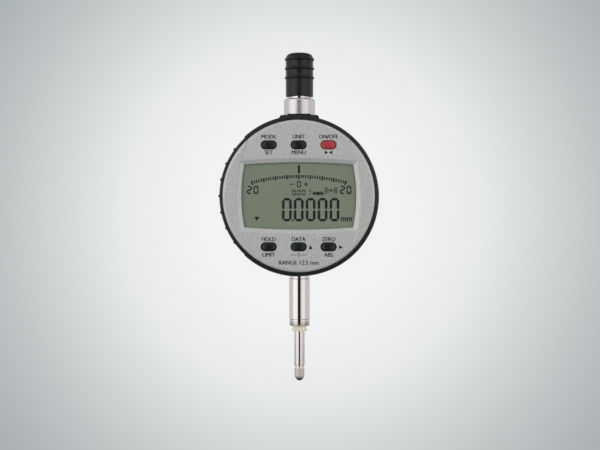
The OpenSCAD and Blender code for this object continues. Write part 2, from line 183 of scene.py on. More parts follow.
def window(grow=0):
    """The window's outline: two bowed sides, and a bowed top and bottom."""
    def side_x(y):
        return WINDOW_X - WINDOW_SIDE_R + math.sqrt((WINDOW_SIDE_R + grow) ** 2 - y * y)

    def top_y(x):
        return WINDOW_Y - WINDOW_TOP_R + math.sqrt((WINDOW_TOP_R + grow) ** 2 - x * x)

    corner_y = WINDOW_Y
    for _ in range(8):
        corner_y = top_y(side_x(corner_y))
    corner_x = side_x(corner_y)
    steps = 32
    points = []
    for side in (1, -1):
        for i in range(steps):
            y = corner_y * (2 * i / steps - 1)
            points.append((side * side_x(y), side * y))
        for i in range(steps):
            x = corner_x * (1 - 2 * i / steps)
            points.append((side * x, side * top_y(x)))
    return points


def wing(side, border, rim):
    """One raised side wing: its inner border is an arc, and its rim follows the face's edge."""
    border_r = BORDER_R - border
    rim_r = FACE_R + rim
    centre = BORDER_X - BORDER_R
    corner_x = (rim_r ** 2 - border_r ** 2 + centre ** 2) / (2 * centre)
    corner_y = math.sqrt(rim_r ** 2 - corner_x ** 2)
    steps = 64
    rim_angle = math.atan2(corner_y, corner_x)
    border_angle = math.atan2(corner_y, corner_x - centre)
    points = []
    for i in range(steps):
        a = rim_angle * (2 * i / steps - 1)
        points.append((side * rim_r * math.cos(a), rim_r * math.sin(a)))
    for i in range(steps):
        a = border_angle * (1 - 2 * i / steps)
        points.append((side * (centre + border_r * math.cos(a)), border_r * math.sin(a)))
    return points


# ---- mesh building ----

def loft(bm, rings, closed=False):
    rows = [[bm.verts.new(point) for point in ring] for ring in rings]
    pairs = list(zip(rows, rows[1:]))
    if closed:
        pairs.append((rows[-1], rows[0]))
    for low, high in pairs:
        for i in range(len(low)):
            j = (i + 1) % len(low)
            bm.faces.new((low[i], low[j], high[j], high[i]))


def inside(loop, x, y):
    """Whether a point lies inside a closed loop."""
    crossings = 0
    for (x0, y0), (x1, y1) in zip(loop, loop[1:] + loop[:1]):
        if (y0 > y) != (y1 > y) and x < x0 + (y - y0) / (y1 - y0) * (x1 - x0):
            crossings += 1
    return crossings % 2 == 1


def fill(bm, loops, height):
    """A flat face inside the first loop, with the other loops as holes."""
    points = []
    edges = []
    for loop in loops:
        first = len(points)
        points += [Vector(point) for point in loop]
        edges += [(first + i, first + (i + 1) % len(loop)) for i in range(len(loop))]
    found = delaunay_2d_cdt(points, edges, [], 1, 1e-6)
    verts = [bm.verts.new(face_point(point.x, point.y, height)) for point in found[0]]
    for corners in found[2]:
        middle = sum((found[0][i] for i in corners), Vector((0, 0))) / len(corners)
        if sum(inside(loop, middle.x, middle.y) for loop in loops) == 1:
            bm.faces.new([verts[i] for i in corners])


def walls(bm, outline, profile, closed=False):
    """The side of an outline, carried through (grow, height) steps."""
    loft(bm, [[face_point(x, y, height) for x, y in outline(grow)] for grow, height in profile], closed)


def rounded(outside, inside, radius, grow_sign=-1, steps=5):
    """(grow, height) steps over a rounded edge, from the flat outside face towards the inside."""
    way = 1 if inside > outside else -1
    angles = [math.pi / 2 * i / steps for i in range(steps + 1)]
    lean = [(1 - math.sin(a), 1 - math.cos(a)) for a in angles]
    return [(grow_sign * radius * across, outside + way * radius * down) for across, down in lean]


def plate(bm, outer, holes, outside, inside, edge):
    """A plate with a rounded outer edge. A hole is (outline, edge radius, floor height or None)."""
    walls(bm, outer, rounded(outside, inside, edge) + [(0, inside)])
    outside_loops = [outer(-edge)]
    inside_loops = [outer(0)]
    for hole, hole_edge, floor in holes:
        end = inside if floor is None else floor
        walls(bm, hole, rounded(outside, inside, hole_edge, 1, 3) + [(0, end)])
        outside_loops.append(hole(hole_edge))
        if floor is None:
            inside_loops.append(hole(0))
        else:
            fill(bm, [hole(0)], floor)
    fill(bm, outside_loops, outside)
    fill(bm, inside_loops, inside)


def prism(bm, points, low, high):
    loft(bm, [[face_point(x, y, height) for x, y in points] for height in (low, high)])
    fill(bm, [points], low)
    fill(bm, [points], high)


def turn(bm, profile, closed=False, steps=160):
    """A turned part about the spindle's axis, from (radius, z) points."""
    angles = full_turn(steps)
    loft(bm, [axis_ring(radius, z, angles) for radius, z in profile], closed)


def arc(centre, radius, start, end, steps=8):
    """Profile points along an arc, with angles in degrees."""
    angles = [math.radians(start + (end - start) * i / steps) for i in range(steps + 1)]
    return [polar(centre, radius, a) for a in angles]


def piece(name, bm, body, slot, *replaced):
    """The finished mesh as an object on its body. Printed ink has no slot in the part's record."""
    bmesh.ops.remove_doubles(bm, verts=bm.verts, dist=0.0015 * MM)
    bmesh.ops.recalc_face_normals(bm, faces=bm.faces)
    mesh = bpy.data.meshes.new(name)
    bm.to_mesh(mesh)
    bm.free()
    for polygon in mesh.polygons:
        polygon.use_smooth = True
    mesh.set_sharp_from_angle(angle=math.radians(38))
    mesh.materials.append(finish(slot))
    made = bpy.data.objects.new(name, mesh)
    bpy.context.collection.objects.link(made)
    weighted = made.modifiers.new("weighted_normals", "WEIGHTED_NORMAL")
    weighted.keep_sharp = True
    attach(made, body)
    if replaced:
        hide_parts(*replaced)
    return made


# ---- materials ----

def shader(name, color, roughness, metallic=0.0):
    material = bpy.data.materials.new(name)
    material.use_nodes = True
    principled = material.node_tree.nodes["Principled BSDF"]
    principled.inputs["Base Color"].default_value = (*color, 1)
    principled.inputs["Roughness"].default_value = roughness
    principled.inputs["Metallic"].default_value = metallic
    return material, principled


def noise(material, size_mm, stretch=(1, 1, 1), detail=3):
    """Noise in the object's own coordinates, whose grains are about size_mm across."""
    nodes = material.node_tree.nodes
    links = material.node_tree.links
    place = nodes.new("ShaderNodeTexCoord")
    mapping = nodes.new("ShaderNodeMapping")
    mapping.inputs["Scale"].default_value = stretch
    texture = nodes.new("ShaderNodeTexNoise")
    texture.inputs["Scale"].default_value = 1 / (size_mm * MM)
    texture.inputs["Detail"].default_value = detail
    links.new(place.outputs["Object"], mapping.inputs["Vector"])
    links.new(mapping.outputs["Vector"], texture.inputs["Vector"])
    return texture.outputs["Fac"]


def tint(material, principled, source, dark, light, low=0.3, high=0.7, socket="Base Color"):
    """Colours one socket from dark to light as the source goes from low to high."""
    ramp = material.node_tree.nodes.new("ShaderNodeValToRGB")
    ramp.color_ramp.elements[0].position = low
    ramp.color_ramp.elements[0].color = (*dark, 1)
    ramp.color_ramp.elements[1].position = high
    ramp.color_ramp.elements[1].color = (*light, 1)
    material.node_tree.links.new(source, ramp.inputs["Fac"])
    material.node_tree.links.new(ramp.outputs["Color"], principled.inputs[socket])


def vary(material, principled, source, low, high):
    spread = material.node_tree.nodes.new("ShaderNodeMapRange")
    spread.inputs["From Min"].default_value = 0.3
    spread.inputs["From Max"].default_value = 0.7
    spread.inputs["To Min"].default_value = low
    spread.inputs["To Max"].default_value = high
    material.node_tree.links.new(source, spread.inputs["Value"])
    material.node_tree.links.new(spread.outputs["Result"], principled.inputs["Roughness"])


def bump(material, principled, source, depth_mm, strength=1.0):
    relief = material.node_tree.nodes.new("ShaderNodeBump")
    relief.inputs["Strength"].default_value = strength
    relief.inputs["Distance"].default_value = depth_mm * MM
    material.node_tree.links.new(source, relief.inputs["Height"])
    material.node_tree.links.new(relief.outputs["Normal"], principled.inputs["Normal"])


def scaled(color, factor):
    return tuple(channel * factor for channel in color)


def moulded(name, color, roughness, grain_mm=0.12, depth_mm=0.006):
    """Moulded plastic or rubber: a fine grain, and cloudy changes in gloss and shade."""
    material, principled = shader(name, color, roughness)
    cloud = noise(material, 3.0)
    tint(material, principled, cloud, scaled(color, 0.8), scaled(color, 1.25))
    vary(material, principled, cloud, roughness - 0.05, roughness + 0.06)
    bump(material, principled, noise(material, grain_mm), depth_mm)
    return material


def painted_glow_plastic(name, color, roughness, glow):
    """Pale plastic with a painted glow: an emission in its own colour stands in for light passing through it,
    and lifts it brighter than the lamps make it.
    """
    material = moulded(name, color, roughness, 0.2, 0.001)
    principled = material.node_tree.nodes["Principled BSDF"]
    # painted light: the plastic glows in its own colour though it is no lamp
    principled.inputs["Emission Color"].default_value = (*color, 1)
    principled.inputs["Emission Strength"].default_value = glow
    return material


def turned_metal(name, color, roughness, line_mm=0.06, depth_mm=0.0006):
    """Metal with fine lines around the spindle's axis, as turning and grinding leave them."""
    material, principled = shader(name, color, roughness, 1.0)
    lines = noise(material, line_mm, (0.02, 0.02, 1), 2)
    tint(material, principled, lines, scaled(color, 0.92), scaled(color, 1.06))
    vary(material, principled, noise(material, 1.5), roughness * 0.85, roughness * 1.15)
    bump(material, principled, lines, depth_mm)
    return material


def grained_metal(name, color, roughness, grain_mm=0.25, depth_mm=0.003):
    """Metal with an even fine grain: plated, milled, pressed or drawn."""
    material, principled = shader(name, color, roughness, 1.0)
    grain = noise(material, grain_mm)
    tint(material, principled, grain, scaled(color, 0.85), scaled(color, 1.1))
    vary(material, principled, noise(material, 2.0), roughness * 0.8, roughness * 1.2)
    bump(material, principled, grain, depth_mm)
    return material


def sparkle_silver(name):
    """Silver paint with fine metallic flakes."""
    base = (0.88, 0.885, 0.87)
    material, principled = shader(name, base, 0.5, 0.45)
    flakes = noise(material, 0.2, detail=2)
    tint(material, principled, flakes, scaled(base, 0.72), scaled(base, 1.08), 0.36, 0.6)
    vary(material, principled, noise(material, 0.3), 0.46, 0.58)
    bump(material, principled, noise(material, 0.12), 0.004)
    return material


def lcd_surface(name):
    """The grey-green field of a reflective display, faintly mottled."""
    base = (0.435, 0.485, 0.375)
    material, principled = shader(name, base, 0.35)
    tint(material, principled, noise(material, 0.35), scaled(base, 0.94), scaled(base, 1.06))
    return material


def clear_glass(name):
    """A clear coated window: it passes light and mirrors a little of the room."""
    material = bpy.data.materials.new(name)
    material.use_nodes = True
    nodes = material.node_tree.nodes
    links = material.node_tree.links
    nodes.remove(nodes["Principled BSDF"])
    passing = nodes.new("ShaderNodeBsdfTransparent")
    passing.inputs["Color"].default_value = (0.97, 0.98, 0.97, 1)
    mirror = nodes.new("ShaderNodeBsdfGlossy")
    mirror.inputs["Color"].default_value = (0.9, 0.95, 1.0, 1)
    smear = nodes.new("ShaderNodeMapRange")
    smear.inputs["To Min"].default_value = 0.02
    smear.inputs["To Max"].default_value = 0.08
    links.new(noise(material, 4.0), smear.inputs["Value"])
    links.new(smear.outputs["Result"], mirror.inputs["Roughness"])
    glance = nodes.new("ShaderNodeLayerWeight")
    glance.inputs["Blend"].default_value = 0.2
    amount = nodes.new("ShaderNodeMapRange")
    amount.inputs["To Min"].default_value = 0.012
    amount.inputs["To Max"].default_value = 0.4
    links.new(glance.outputs["Facing"], amount.inputs["Value"])
    mix = nodes.new("ShaderNodeMixShader")
    links.new(amount.outputs["Result"], mix.inputs["Fac"])
    links.new(passing.outputs["BSDF"], mix.inputs[1])
    links.new(mirror.outputs["BSDF"], mix.inputs[2])
    links.new(mix.outputs["Shader"], nodes["Material Output"].inputs["Surface"])
    return material


def circuit_board(name):
    """Green solder mask over copper tracks, which show as slightly lighter lines."""
    base = (0.02, 0.12, 0.05)
    material, principled = shader(name, base, 0.35)
    tint(material, principled, noise(material, 1.6, (3, 1, 1), 1), base, scaled(base, 1.9), 0.46, 0.52)
    bump(material, principled, noise(material, 0.4), 0.01)
    return material


def ink(name, color):
    """Printed ink, a little uneven."""
    material, principled = shader(name, color, 0.45)
    tint(material, principled, noise(material, 0.4), scaled(color, 0.8), scaled(color, 1.3))
    return material


FINISHES = {
    "case_plastic": lambda name: moulded(name, (0.009, 0.0105, 0.011), 0.4),
    "grip_plastic": lambda name: moulded(name, (0.009, 0.011, 0.0118), 0.38, 0.1, 0.004),
    "black_plastic": lambda name: moulded(name, (0.02, 0.02, 0.022), 0.5),
    # the wiper's ivory plastic carries a painted glow, an emission standing in for light passing through it
    "ivory_plastic": lambda name: painted_glow_plastic(name, (0.86, 0.80, 0.65), 0.32, 0.24),
    "silver_face": sparkle_silver,
    "ground_steel": lambda name: turned_metal(name, (0.85, 0.80, 0.77), 0.09, 0.06, 0.00015),
    "sleeve_steel": lambda name: turned_metal(name, (0.86, 0.83, 0.80), 0.07, 0.06, 0.0001),
    "collar_steel": lambda name: turned_metal(name, (0.85, 0.825, 0.815), 0.33, 0.1, 0.0002),
    "knurled_steel": lambda name: grained_metal(name, (0.92, 0.87, 0.79), 0.3),
    "screw_steel": lambda name: grained_metal(name, (0.56, 0.56, 0.57), 0.3),
    "spring_steel": lambda name: grained_metal(name, (0.6, 0.6, 0.61), 0.25),
    "cell_steel": lambda name: grained_metal(name, (0.66, 0.66, 0.66), 0.28),
    "carbide": lambda name: grained_metal(name, (0.16, 0.155, 0.15), 0.18, 0.1, 0.0005),
    "bright_aluminium": lambda name: grained_metal(name, (0.72, 0.72, 0.73), 0.35),
    "bronze": lambda name: grained_metal(name, (0.55, 0.36, 0.17), 0.35),
    "contact_brass": lambda name: grained_metal(name, (0.80, 0.60, 0.27), 0.25),
    "seal_rubber": lambda name: moulded(name, (0.012, 0.012, 0.012), 0.6),
    "cap_rubber": lambda name: moulded(name, (0.005, 0.0085, 0.0095), 0.32, 0.09, 0.002),
    "key_black": lambda name: moulded(name, (0.009, 0.014, 0.015), 0.28, 0.08, 0.002),
    "key_red": lambda name: moulded(name, (0.62, 0.068, 0.076), 0.34, 0.08, 0.002),
    "circuit_board": circuit_board,
    "flex_film": lambda name: moulded(name, (0.50, 0.20, 0.035), 0.25, 0.5, 0.004),
    "clear_window": clear_glass,
    "lcd_grey": lcd_surface,
    "scale_glass": lambda name: moulded(name, (0.70, 0.62, 0.38), 0.12, 0.5, 0.001),
    "lcd_ink": lambda name: ink(name, (0.010, 0.019, 0.028)),
    "legend_ink": lambda name: ink(name, (0.012, 0.012, 0.013)),
    "mark_ink": lambda name: ink(name, (0.30, 0.30, 0.31)),
}
made_finishes = {}


def finish(name):
    if name not in made_finishes:
        made_finishes[name] = FINISHES[name](name)
    return made_finishes[name]


def finish_cad_nodes():
    for row in frame["record"]["subparts"]:
        node = bpy.data.objects[row["node"]]
        node.data.materials.clear()
        node.data.materials.append(finish(row["material_slot"]))


# ---- body ----

def case_shell():
    """The drum behind the display."""
    bm = bmesh.new()
    hub_r = 12
    wall = 2
    profile = [(hub_r - CASE_R, CASE_FRONT)] + rounded(CASE_FRONT, CASE_BACK, 0.5)
    profile += [(0, CASE_BACK), (-wall, CASE_BACK), (-wall, CASE_FRONT - 1.5)]
    profile += [(hub_r - CASE_R, CASE_FRONT - 1.5)]
    walls(bm, circle(CASE_R, steps=288), profile, closed=True)
    piece("case_shell", bm, "body", "case_plastic", "case")


def boss():
    """The block on top of the drum that holds the collar, and its lip in front."""
    bm = bmesh.new()
    depth = 6.2
    corners = [(-7.7, 25.5), (7.7, 25.5), (7.7, 30.2), (7, BOSS_TOP), (-7, BOSS_TOP), (-7.7, 30.2)]
    prism(bm, corners, -depth, CASE_FRONT - 0.02)
    soften(bm, 0.3)
    piece("case_boss", bm, "body", "case_plastic")
    bm = bmesh.new()
    corners = [(-4.5, 30), (4.5, 30), (4.5, 31.4), (4.3, 31.6), (-4.3, 31.6), (-4.5, 31.4)]
    prism(bm, corners, 6.1, CASE_FRONT)
    piece("boss_lip", bm, "body", "case_plastic")


def soften(bm, radius_mm, segments=3):
    """Rounds every edge that is clearly an edge."""
    bmesh.ops.remove_doubles(bm, verts=bm.verts, dist=0.001 * MM)
    bmesh.ops.dissolve_limit(bm, angle_limit=math.radians(1), verts=bm.verts, edges=bm.edges)
    sharp = [edge for edge in bm.edges if edge.calc_face_angle(0) > math.radians(20)]
    bmesh.ops.bevel(bm, geom=sharp, offset=radius_mm * MM, segments=segments, profile=0.5, affect="EDGES",
                    clamp_overlap=True)


def door_centre():
    """The battery door's axis. Its seal is round, while its lugs reach further at the top."""
    low, high = box_mm("battery_door_seal")
    return ((low.x + high.x) / 2, (low.z + high.z) / 2 - DIAL_Z)


def rear_cover():
    bm = bmesh.new()
    at = door_centre()
    holes = [(circle(13.5, at, 192), 0.15, None)]
    holes += [(circle(1.95, screw, 48), 0.12, COVER_BACK + 1.1) for screw in COVER_SCREWS]
    plate(bm, circle(CASE_R, steps=288), holes, COVER_BACK, CASE_BACK, 0.5)
    piece("rear_cover_plate", bm, "body", "case_plastic", "rear_cover")


def cover_screws():
    bm = bmesh.new()
    for at in COVER_SCREWS:
        plate(bm, circle(1.85, at, 48), [(hexagon(1.02, at), 0.05, COVER_BACK + 0.75)],
              COVER_BACK + 0.15, COVER_BACK + 1.1, 0.3)
    piece("cover_screw_heads", bm, "body", "screw_steel", "rear_cover_screws")


def battery_door():
    bm = bmesh.new()
    at = door_centre()
    slot = stadium(13, 1.8, at)
    plate(bm, circle(13.4, at, 192), [(slot, 0.15, COVER_BACK + 1)], COVER_BACK, CASE_BACK + 0.7, 0.25)
    piece("battery_door_disc", bm, "battery_door", "case_plastic", "battery_door")
    bm = bmesh.new()
    for turn_deg in (0, 45):
        arrow_mark(bm, at, 11.2, 90 + turn_deg, 0.55)
    arrow_mark(bm, at, 11.2, -90, 0.8)
    piece("battery_door_marks", bm, "battery_door", "mark_ink")
    bm = bmesh.new()
    arrow_mark(bm, at, 15.2, 90, -0.8)
    piece("rear_cover_mark", bm, "body", "mark_ink")


def arrow_mark(bm, at, radius, angle_deg, size):
    """A small printed triangle that points outward, or inward when its size is negative."""
    a = math.radians(angle_deg)
    out = Vector((math.cos(a), math.sin(a)))
    across = Vector((-out.y, out.x))
    centre = Vector(at) + out * radius
    points = [centre + out * size, centre - out * size * 0.7 + across * abs(size),
              centre - out * size * 0.7 - across * abs(size)]
    prism(bm, [(p.x, p.y) for p in points], COVER_BACK + 0.02, COVER_BACK - 0.015)


def stem():
    """The clamping stem: chamfered at its top, with a fine V groove above its lower land."""
    bm = bmesh.new()
    socket_z = DIAL_Z - 29
    profile = [(2.8, socket_z), (STEM_R - 0.25, socket_z), (STEM_R - 0.25, CLAMP_TOP + 0.15)]
    profile += [(STEM_R - 0.04, CLAMP_TOP + 0.04), (STEM_R, CLAMP_TOP - 0.03), (STEM_R, CLAMP_TOP - 0.08)]
    profile += [(STEM_R, 0.05 - CLAMP_TOP), (STEM_R, -CLAMP_TOP)]
    profile += [(STEM_R - 0.4, -CLAMP_TOP - 0.16), (STEM_R - 0.42, -CLAMP_TOP - 0.18)]
    profile += [(STEM_R - 0.12, -CLAMP_TOP - 0.34), (STEM_R - 0.12, -CLAMP_TOP - 0.4)]
    profile += [(STEM_R - 0.12, LAND_END + 0.36), (STEM_R - 0.13, LAND_END + 0.3)]
    profile += [(STEM_R - 0.18, LAND_END + 0.22), (STEM_R - 0.4, LAND_END + 0.03)]
    profile += [(STEM_R - 0.48, LAND_END), (2.8, LAND_END)]
    turn(bm, profile, closed=True)
    piece("stem_shank", bm, "body", "ground_steel", "stem")


def wiper():
    bm = bmesh.new()
    profile = [(ROD_R + 0.05, LAND_END + 0.5), (2.63, LAND_END + 0.5), (2.63, LAND_END - 1.1)]
    profile += [(3.0, LAND_END - 1.42)] + arc((3.0, LAND_END - 1.6), 0.15, 50, -60, 4)
    profile += [(2.95, LAND_END - 1.98), (ROD_R + 0.05, LAND_END - 2)]
    turn(bm, profile, closed=True)
    piece("wiper_ring", bm, "body", "ivory_plastic", "wiper")


def collar():
    bm = bmesh.new()
    high = top("collar")
    low = DIAL_Z + BOSS_TOP
    profile = [(5.0, low - 2), (5.6, low - 2), (5.6, low + 0.02), (COLLAR_R - 0.2, low + 0.02)]
    profile += arc((COLLAR_R - 0.2, low + 0.22), 0.2, -90, 0, 4)
    profile += arc((COLLAR_R - 0.8, high - 0.8), 0.8, 0, 90, 8)
    profile += [(SLEEVE_R + 0.3, high), (SLEEVE_R + 0.22, high - 0.06), (SLEEVE_R + 0.22, high - 0.6)]
    profile += [(5.0, high - 0.6)]
    turn(bm, profile, closed=True)
    piece("collar_ring", bm, "body", "collar_steel", "collar")


# ---- display ----

def grip_radius(degrees):
    """Radius of the grip at an angle: nine ribs on the left, and plain everywhere else."""
    from_side = abs(degrees % 360 - 180)
    if from_side > 90:
        return GRIP_R - 0.1 + 0.1 * math.cos(math.radians(from_side))
    if from_side >= RIB_SPAN:
        return GRIP_R
    rib_r = 0.7
    offset = math.radians((from_side + RIB_PITCH / 2) % RIB_PITCH - RIB_PITCH / 2) * GRIP_R
    if abs(offset) >= rib_r:
        return RING_R
    return max(RING_R, GRIP_R - rib_r + math.sqrt(rib_r ** 2 - offset ** 2))


def tooth(degrees):
    """Fine serration on the grip, deepest halfway between its teeth."""
    pitch = 1.2
    return 0.07 * (0.5 - 0.5 * math.cos(2 * math.pi * degrees / pitch))


def grip_ring():
    bm = bmesh.new()
    inner = FACE_R + 0.07
    steps = 2400
    floor = 8.4
    hub_r = 11.92
    band = [(0, 13.0), (0, 14.93), (0.04, RING_FRONT), (0.3, RING_FRONT), (0.5, 14.9), (0.7, 14.7)]
    band += [(0.86, 14.42), (0.96, 14.1), (1, 13.7), (1, 11.5), (1, 9.5), (1, 7.2)]
    band += [(0.94, 6.98), (0.82, RING_BACK)]
    rings = []
    for t, height in band:
        ring = []
        for i in range(steps):
            degrees = 360 * i / steps
            outer = grip_radius(degrees) - (tooth(degrees) if 0.8 < t else 0)
            radius = inner + t * (outer - inner)
            a = math.radians(degrees)
            ring.append(face_point(radius * math.cos(a), radius * math.sin(a), height))
        rings.append(ring)
    rest = [(hub_r, RING_BACK), (hub_r, 4.85), (8.2, 4.85), (8.2, floor), (27.9, floor), (27.9, 13.0)]
    for radius, height in rest:
        rings.append([face_point(x, y, height) for x, y in circle(radius, steps=steps)()])
    loft(bm, rings, closed=True)
    piece("grip_ring", bm, "display", "grip_plastic", "display_housing")


def key_places():
    return [(x, y) for y in (KEY_ROW, -KEY_ROW) for x in (-KEY_PITCH, 0, KEY_PITCH)]


def face_panel():
    """The silver disc: a sloped rim, a bevelled window and six key openings."""
    bm = bmesh.new()
    rim = [(-1.1, FACE_FRONT), (-0.8, FACE_FRONT - 0.03), (-0.5, FACE_FRONT - 0.1), (-0.2, FACE_FRONT - 0.24)]
    rim += [(-0.05, FACE_FRONT - 0.36), (0, FACE_FRONT - 0.5), (0, FACE_BACK)]
    walls(bm, circle(FACE_R, steps=288), rim)
    bevel = 1.5
    sides = [(bevel + 0.1, FACE_FRONT), (bevel - 0.02, FACE_FRONT - 0.02), (bevel - 0.12, FACE_FRONT - 0.07)]
    sides += [(0.03, LENS_FRONT + 0.03), (0, LENS_FRONT + 0.012), (1.05, LENS_FRONT + 0.005)]
    sides += [(1.05, FACE_BACK)]
    walls(bm, window, sides)
    front_loops = [circle(FACE_R, steps=288)(-1.1), window(bevel + 0.1)]
    back_loops = [circle(FACE_R, steps=288)(0), window(1.05)]
    for at in key_places():
        opening = stadium(6.1, 3.4, at)
        edge = 0.16
        walls(bm, opening, rounded(FACE_FRONT, FACE_BACK, edge, 1, 4) + [(0, FACE_BACK)])
        front_loops.append(opening(edge))
        back_loops.append(opening(0))
    fill(bm, front_loops, FACE_FRONT)
    fill(bm, back_loops, FACE_BACK)
    piece("face_panel", bm, "display", "silver_face", "face_plate")


def face_wings():
    """The raised stretches beside the window, from the arc borders out to the rim."""
    bm = bmesh.new()
    drop = WING_FRONT - FACE_FRONT
    steps = [(0, 0, FACE_FRONT - 0.5), (0, -0.12, FACE_FRONT - 0.05), (0, -0.3, FACE_FRONT + 0.35 * drop)]
    steps += [(-0.05, -0.5, FACE_FRONT + 0.65 * drop), (-0.16, -0.78, FACE_FRONT + 0.9 * drop)]
    steps += [(-0.32, -1.1, WING_FRONT)]
    for side in (-1, 1):
        rings = []
        for border, rim, height in steps:
            rings.append([face_point(x, y, height) for x, y in wing(side, border, rim)])
        loft(bm, rings)
        fill(bm, [wing(side, steps[-1][0], steps[-1][1])], WING_FRONT)
        fill(bm, [wing(side, 0, 0)], FACE_FRONT - 0.5)
    piece("face_wings", bm, "display", "silver_face")


def key_cap(name, at):
    """A pillow key: crowned along its length, with rounded edges and a flange behind the face."""
    bm = bmesh.new()
    crown_top = front(name)
    edge = 0.55
    rings = []
    outline = stadium(5.7, 3.0, at)
    for inset in (0, 0.03, 0.09, 0.18, 0.3, 0.43, 0.56, 0.8, 1.05, 1.3, 1.4999):
        lean = max(0, edge - inset)
        drop = edge - math.sqrt(edge ** 2 - lean ** 2)
        ring = []
        for x, y in outline(-inset):
            crown = 0.055 * (x - at[0]) ** 2
            ring.append(face_point(x, y, crown_top - 0.02 - crown - drop))
        rings.append(ring)
    loft(bm, rings)
    walls(bm, outline, [(0, FACE_BACK - 0.2), (0, crown_top - 1.1)])
    flange = stadium(7.4, 4.6, at)
    walls(bm, flange, [(0, FACE_BACK - 1.1), (0, FACE_BACK - 0.2)])
    fill(bm, [flange(0), outline(0)], FACE_BACK - 0.2)
    fill(bm, [flange(0)], FACE_BACK - 1.1)
    join_skirt(bm, outline, at, crown_top - 0.02 - edge, crown_top - 1.1)
    piece(name + "_pillow", bm, name, "key_red" if name == "key_top_right" else "key_black", name)


def join_skirt(bm, outline, at, crown_edge, low):
    """The key's upright side, from the straight skirt up to the crowned edge."""
    high = [face_point(x, y, crown_edge - 0.055 * (x - at[0]) ** 2) for x, y in outline(0)]
    loft(bm, [[face_point(x, y, low) for x, y in outline(0)], high])


def keys():
    names = ["key_top_left", "key_top_middle", "key_top_right",
             "key_bottom_left", "key_bottom_middle", "key_bottom_right"]
    for name, at in zip(names, key_places()):
        key_cap(name, at)


# ---- display content and legends ----

INK_LOW = LCD_FRONT - 0.004
INK_HIGH = LCD_FRONT + 0.012
SEGMENTS = {
    "a": ((0, 1), (1, 1)), "b": ((1, 1), (1, 0.5)), "c": ((1, 0.5), (1, 0)), "d": ((1, 0), (0, 0)),
    "e": ((0, 0), (0, 0.5)), "f": ((0, 0.5), (0, 1)), "g": ((0, 0.5), (1, 0.5)),
}
LIT = {"0": "abcdef", "2": "abged"}


def segment(bm, start, end, width, gap):
    """A display segment: a bar whose ends come to a point."""
    start = Vector(start)
    end = Vector(end)
    along = (end - start).normalized()
    across = Vector((-along.y, along.x)) * width / 2
    first = start + along * gap
    last = end - along * gap
    tip = along * width / 2
    points = [first, first + tip - across, last - tip - across]
    points += [last, last - tip + across, first + tip + across]
    prism(bm, [(p.x, p.y) for p in points], INK_LOW, INK_HIGH)


def digit(bm, figure, left, low, width, height, stroke, gap):
    for name in LIT[figure]:
        ends = []
        for u, v in SEGMENTS[name]:
            x = left + stroke / 2 + u * (width - stroke)
            y = low + stroke / 2 + v * (height - stroke)
            ends.append((x, y))
        segment(bm, ends[0], ends[1], stroke, gap)


def number(bm, text, left, low, width, height, stroke, pitch, gap):
    for i, figure in enumerate(text):
        digit(bm, figure, left + i * pitch, low, width, height, stroke, gap)


def box(bm, x, y, width, height):
    prism(bm, [(x - width / 2, y - height / 2), (x + width / 2, y - height / 2),
               (x + width / 2, y + height / 2), (x - width / 2, y + height / 2)], INK_LOW, INK_HIGH)


def triangle(bm, x, y, size, angle_deg, low, high, width=1.0):
    """A triangle whose tip points along an angle."""
    a = math.radians(angle_deg)
    out = Vector((math.cos(a), math.sin(a))) * size
    across = Vector((-out.y, out.x)) * width
    centre = Vector((x, y))
    points = [centre + out, centre - out * 0.8 + across, centre - out * 0.8 - across]
    prism(bm, [(p.x, p.y) for p in points], low, high)


def band(bm, x, y, radius, width, start, end):
    """A curved stroke, as in the radio symbol."""
    steps = 10
    angles = [math.radians(start + (end - start) * i / steps) for i in range(steps + 1)]
    outer = [polar((x, y), radius + width / 2, a) for a in angles]
    inner = [polar((x, y), radius - width / 2, a) for a in angles]
    prism(bm, outer + inner[::-1], INK_LOW, INK_HIGH)


def scale_ticks(bm):
    """Forty-one ticks on a wide arc, with a longer one at every fifth."""
    radius = 71
    crest = 8.0
    pitch = 0.888
    for i in range(-20, 21):
        x = i * pitch
        lean = x / radius
        length = 1.6 if i % 5 == 0 else 1.15
        width = 0.62 if i % 5 == 0 else 0.5
        tip = Vector((x, crest - (radius - math.sqrt(radius ** 2 - x * x))))
        down = Vector((-math.sin(lean), -math.cos(lean)))
        across = Vector((down.y, -down.x)) * width / 2
        drop = down * length if i % 5 == 0 else down * length + down * 0.1
        start = tip if i % 5 == 0 else tip + down * 0.1
        points = [start - across, start + across, tip + drop + across, tip + drop - across]
        prism(bm, [(p.x, p.y) for p in points], INK_LOW, INK_HIGH)


